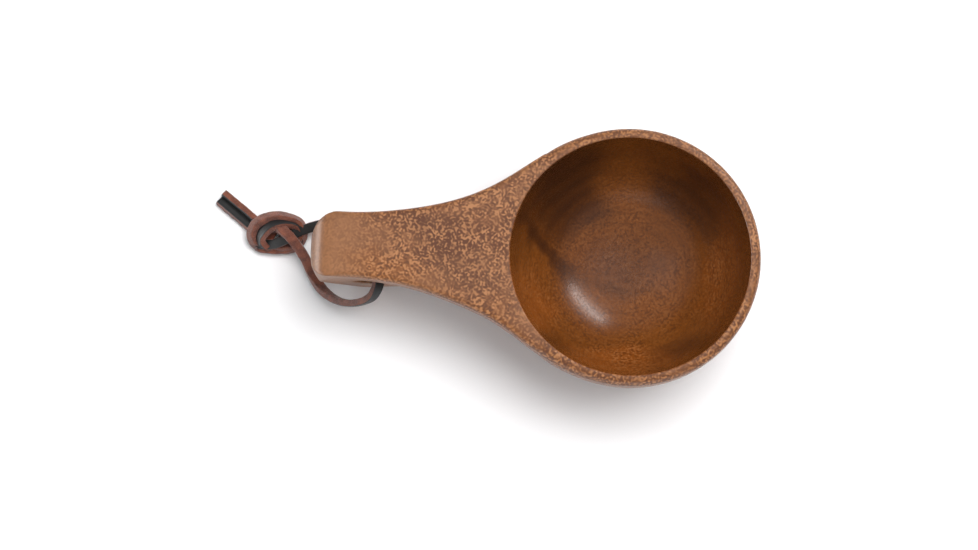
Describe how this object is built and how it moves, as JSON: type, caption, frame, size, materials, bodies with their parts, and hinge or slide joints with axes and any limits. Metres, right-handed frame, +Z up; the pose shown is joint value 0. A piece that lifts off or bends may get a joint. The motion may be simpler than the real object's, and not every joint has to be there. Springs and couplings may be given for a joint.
{
  "type": "wooden drinking cup",
  "caption": "Carved wooden drinking cup with a round bowl and a flat handle whose finger hole holds a knotted leather lace.",
  "frame": {"origin": "centre of the flat foot, on the surface that the cup stands on", "axes": "+Z up out of the bowl's mouth, -X from the bowl along the handle to its tip"},
  "size_m": [0.2112, 0.098, 0.05],
  "materials": {
    "oiled_wood": "sanded and oiled, satin",
    "lace_leather": "suede, with one dyed black face"
  },
  "bodies": {
    "cup": {"cup": "oiled_wood"},
    "lace": {"lace_front_strand": "lace_leather", "lace_back_strand": "lace_leather", "lace_front_tail": "lace_leather", "lace_back_tail": "lace_leather", "lace_knot": "lace_leather"}
  },
  "joints": [
    {"name": "lace_swing", "type": "hinge", "parent": "cup", "child": "lace", "pos_m": [-0.0946, 0, 0.0276], "axis": [0, 1, 0], "range_deg": [-90, 150]}
  ]
}
